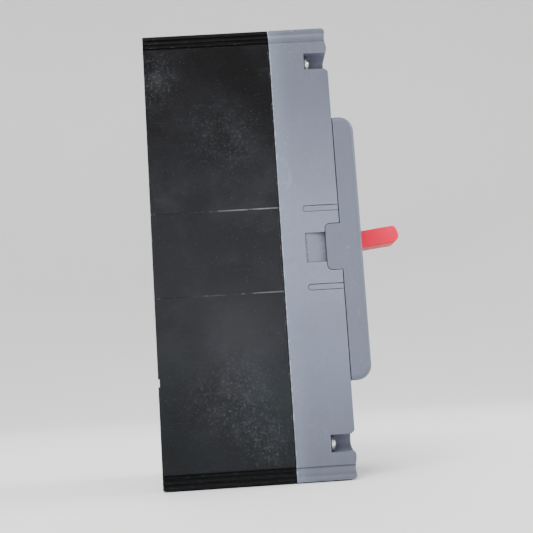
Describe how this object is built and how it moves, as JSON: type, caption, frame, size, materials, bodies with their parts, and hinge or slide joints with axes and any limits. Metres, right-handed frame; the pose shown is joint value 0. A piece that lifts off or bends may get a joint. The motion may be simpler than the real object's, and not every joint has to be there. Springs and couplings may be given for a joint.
{
  "type": "molded case breaker",
  "caption": "Box-shaped power circuit breaker with a deep dark base, a grey cover, a raised centre with a red toggle handle, and lugs at both ends.",
  "frame": {"origin": "centre of the flat mounting back", "axes": "+Z along the breaker's height to the line (supply) end, +Y out of the mounting back, so the handle and the front face -Y, and +X to the right of someone facing the front"},
  "size_m": [0.1142, 0.1377, 0.241],
  "materials": {
    "base_thermoset": "satin molded thermoset, dusty",
    "cover_plastic": "satin molded plastic",
    "handle_plastic": "satin molded plastic",
    "shield_plastic": "satin molded plastic",
    "button_plastic": "satin molded plastic",
    "dark_molding": "matt molded thermoset",
    "copper": "bright copper",
    "pale_fibre": "pressed fibre board and blued steel plates",
    "lug_aluminium": "tin-plated",
    "zinc_steel": "zinc-plated"
  },
  "bodies": {
    "root": {"base": "base_thermoset", "main_cover": "cover_plastic", "accessory_cover": "cover_plastic", "cover_screw_1": "zinc_steel", "cover_screw_2": "zinc_steel", "cover_screw_3": "zinc_steel", "cover_screw_4": "zinc_steel", "mechanism_frame": "zinc_steel", "cradle_pin": "zinc_steel", "trip_unit_case": "shield_plastic", "line_terminal_a": "copper", "load_terminal_a": "copper", "braid_a": "copper", "arc_chute_a": "pale_fibre", "bimetal_a": "zinc_steel", "magnet_yoke_a": "zinc_steel", "line_lug_a": "lug_aluminium", "load_lug_a": "lug_aluminium", "line_lug_screw_a": "zinc_steel", "load_lug_screw_a": "zinc_steel", "line_terminal_b": "copper", "load_terminal_b": "copper", "braid_b": "copper", "arc_chute_b": "pale_fibre", "bimetal_b": "zinc_steel", "magnet_yoke_b": "zinc_steel", "line_lug_b": "lug_aluminium", "load_lug_b": "lug_aluminium", "line_lug_screw_b": "zinc_steel", "load_lug_screw_b": "zinc_steel", "line_terminal_c": "copper", "load_terminal_c": "copper", "braid_c": "copper", "arc_chute_c": "pale_fibre", "bimetal_c": "zinc_steel", "magnet_yoke_c": "zinc_steel", "line_lug_c": "lug_aluminium", "load_lug_c": "lug_aluminium", "line_lug_screw_c": "zinc_steel", "load_lug_screw_c": "zinc_steel"},
    "handle_assembly": {"handle": "handle_plastic", "handle_shield": "shield_plastic", "handle_yoke": "zinc_steel", "toggle_spring_left": "zinc_steel", "toggle_spring_right": "zinc_steel"},
    "crossbar_assembly": {"crossbar": "dark_molding", "arm_pivot_pin": "zinc_steel"},
    "lower_link_body": {"lower_link": "zinc_steel"},
    "upper_link_body": {"upper_link": "zinc_steel"},
    "cradle_body": {"cradle": "zinc_steel"},
    "trip_bar_body": {"trip_bar": "dark_molding"},
    "latch_body": {"latch": "zinc_steel"},
    "trip_button_body": {"trip_button": "button_plastic"},
    "adjustment_dial_body": {"adjustment_dial": "shield_plastic"},
    "contact_arm_a_body": {"contact_arm_a": "copper"},
    "armature_a_body": {"armature_a": "zinc_steel"},
    "contact_arm_b_body": {"contact_arm_b": "copper"},
    "armature_b_body": {"armature_b": "zinc_steel"},
    "contact_arm_c_body": {"contact_arm_c": "copper"},
    "armature_c_body": {"armature_c": "zinc_steel"}
  },
  "joints": [
    {"name": "handle_swing", "type": "hinge", "parent": "root", "child": "handle_assembly", "pos_m": [0, -0.04, 0.0015], "axis": [-1, 0, 0], "range_deg": [-22.8, 9.2], "deforming": ["toggle_spring_left", "toggle_spring_right", "braid_a", "braid_b", "braid_c"]},
    {"name": "crossbar_turn", "type": "hinge", "parent": "root", "child": "crossbar_assembly", "pos_m": [0, -0.028, -0.01], "axis": [-1, 0, 0], "range_deg": [-21.38, 8.63]},
    {"name": "lower_link_turn", "type": "hinge", "parent": "crossbar_assembly", "child": "lower_link_body", "pos_m": [0, -0.03486, -0.00077], "axis": [-1, 0, 0], "range_deg": [-8.66, 21.45]},
    {"name": "upper_link_turn", "type": "hinge", "parent": "lower_link_body", "child": "upper_link_body", "pos_m": [0, -0.05299, -0.00922], "axis": [-1, 0, 0], "range_deg": [-4.83, 11.96]},
    {"name": "cradle_trip", "type": "hinge", "parent": "root", "child": "cradle_body", "pos_m": [0, -0.072, 0.026], "axis": [-1, 0, 0], "range_deg": [0, 12]},
    {"name": "trip_button_press", "type": "slide", "parent": "root", "child": "trip_button_body", "axis": [0, 1, 0], "range_m": [0, 0.002], "stiffness_N_per_m": 500, "springref_m": -0.001},
    {"name": "trip_bar_turn", "type": "hinge", "parent": "root", "child": "trip_bar_body", "pos_m": [0, -0.066, -0.045], "axis": [1, 0, 0], "range_deg": [0, 11.46]},
    {"name": "latch_turn", "type": "hinge", "parent": "root", "child": "latch_body", "pos_m": [0, -0.06, -0.034], "axis": [1, 0, 0], "range_deg": [0, 5.73]},
    {"name": "adjustment_dial_turn", "type": "hinge", "parent": "root", "child": "adjustment_dial_body", "pos_m": [-0.024, -0.1, -0.055], "axis": [0, -1, 0], "range_deg": [0, 270]},
    {"name": "contact_arm_a_blow_open", "type": "hinge", "parent": "crossbar_assembly", "child": "contact_arm_a_body", "pos_m": [-0.0365, -0.028, -0.01], "axis": [1, 0, 0], "range_deg": [0, 8], "stiffness_Nm_per_rad": 1, "springref_deg": -5.73},
    {"name": "armature_a_pull", "type": "hinge", "parent": "root", "child": "armature_a_body", "pos_m": [-0.0365, -0.046, -0.0444], "axis": [-1, 0, 0], "range_deg": [0, 4], "stiffness_Nm_per_rad": 0.05, "springref_deg": -2.86},
    {"name": "contact_arm_b_blow_open", "type": "hinge", "parent": "crossbar_assembly", "child": "contact_arm_b_body", "pos_m": [0, -0.028, -0.01], "axis": [1, 0, 0], "range_deg": [0, 8], "stiffness_Nm_per_rad": 1, "springref_deg": -5.73},
    {"name": "armature_b_pull", "type": "hinge", "parent": "root", "child": "armature_b_body", "pos_m": [0, -0.046, -0.0444], "axis": [-1, 0, 0], "range_deg": [0, 4], "stiffness_Nm_per_rad": 0.05, "springref_deg": -2.86},
    {"name": "contact_arm_c_blow_open", "type": "hinge", "parent": "crossbar_assembly", "child": "contact_arm_c_body", "pos_m": [0.0365, -0.028, -0.01], "axis": [1, 0, 0], "range_deg": [0, 8], "stiffness_Nm_per_rad": 1, "springref_deg": -5.73},
    {"name": "armature_c_pull", "type": "hinge", "parent": "root", "child": "armature_c_body", "pos_m": [0.0365, -0.046, -0.0444], "axis": [-1, 0, 0], "range_deg": [0, 4], "stiffness_Nm_per_rad": 0.05, "springref_deg": -2.86}
  ],
  "couplings": [
    {"joint": "crossbar_turn", "follows": "handle_swing", "ratio": 0.9375},
    {"joint": "lower_link_turn", "follows": "handle_swing", "ratio": -0.9409},
    {"joint": "upper_link_turn", "follows": "handle_swing", "ratio": -0.5243},
    {"joint": "trip_bar_turn", "follows": "trip_button_press", "rad_per_m": 100},
    {"joint": "latch_turn", "follows": "trip_button_press", "rad_per_m": 50}
  ]
}
